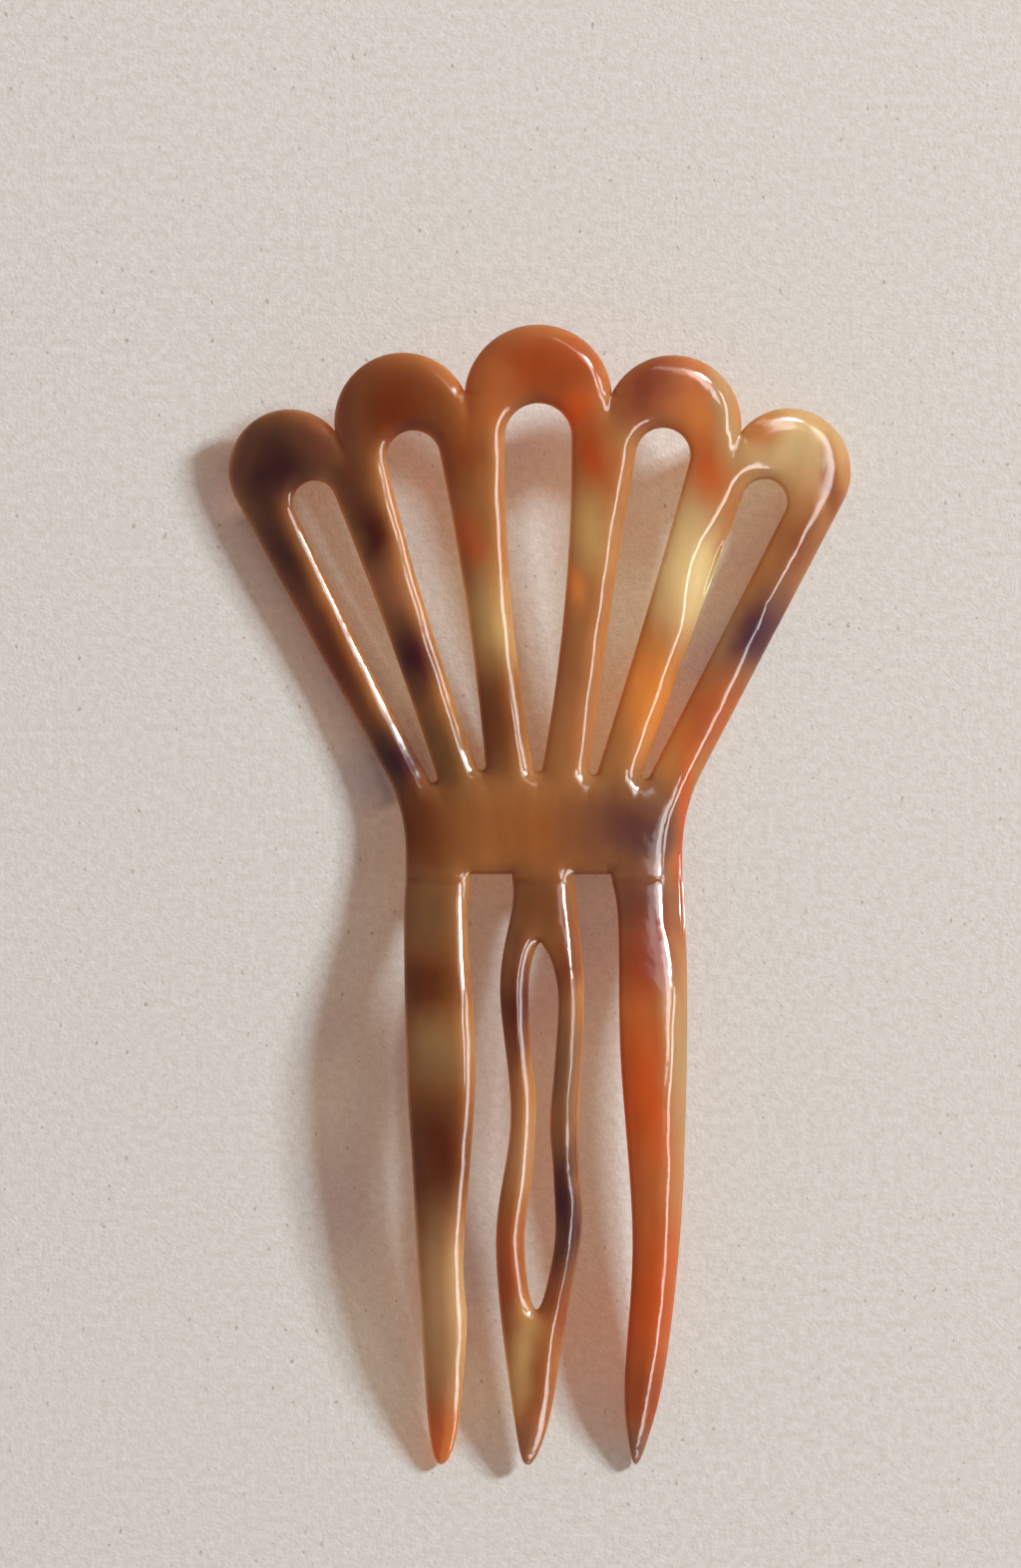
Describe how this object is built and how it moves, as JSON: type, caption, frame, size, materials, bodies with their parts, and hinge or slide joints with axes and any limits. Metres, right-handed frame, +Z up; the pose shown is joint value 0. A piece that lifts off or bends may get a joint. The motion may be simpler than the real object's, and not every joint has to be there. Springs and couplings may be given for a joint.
{
  "type": "decorative hair comb",
  "caption": "Tortoiseshell-look hair comb: a scalloped fan of pierced teardrop loops over a narrow waist and long wavy prongs, arched to the head.",
  "frame": {"origin": "centre of the footprint, on the surface that the comb lies on", "axes": "+X across the comb to the right as its face is looked at, +Y from the prong tips towards the top of the fan, +Z up out of its face"},
  "size_m": [0.0712, 0.13, 0.0152],
  "materials": {
    "mottle_dark": "polished translucent purple-brown",
    "mottle_brown": "polished translucent mottled brown",
    "mottle_amber": "polished translucent orange-brown",
    "mottle_honey": "polished translucent honey yellow with brown patches"
  },
  "bodies": {
    "root": {"loop_outer_left": "mottle_dark", "loop_inner_left": "mottle_brown", "loop_centre": "mottle_amber", "loop_inner_right": "mottle_honey", "loop_outer_right": "mottle_honey", "waist_band": "mottle_brown", "prong_left": "mottle_brown", "prong_centre": "mottle_brown", "prong_right": "mottle_amber"}
  },
  "joints": []
}
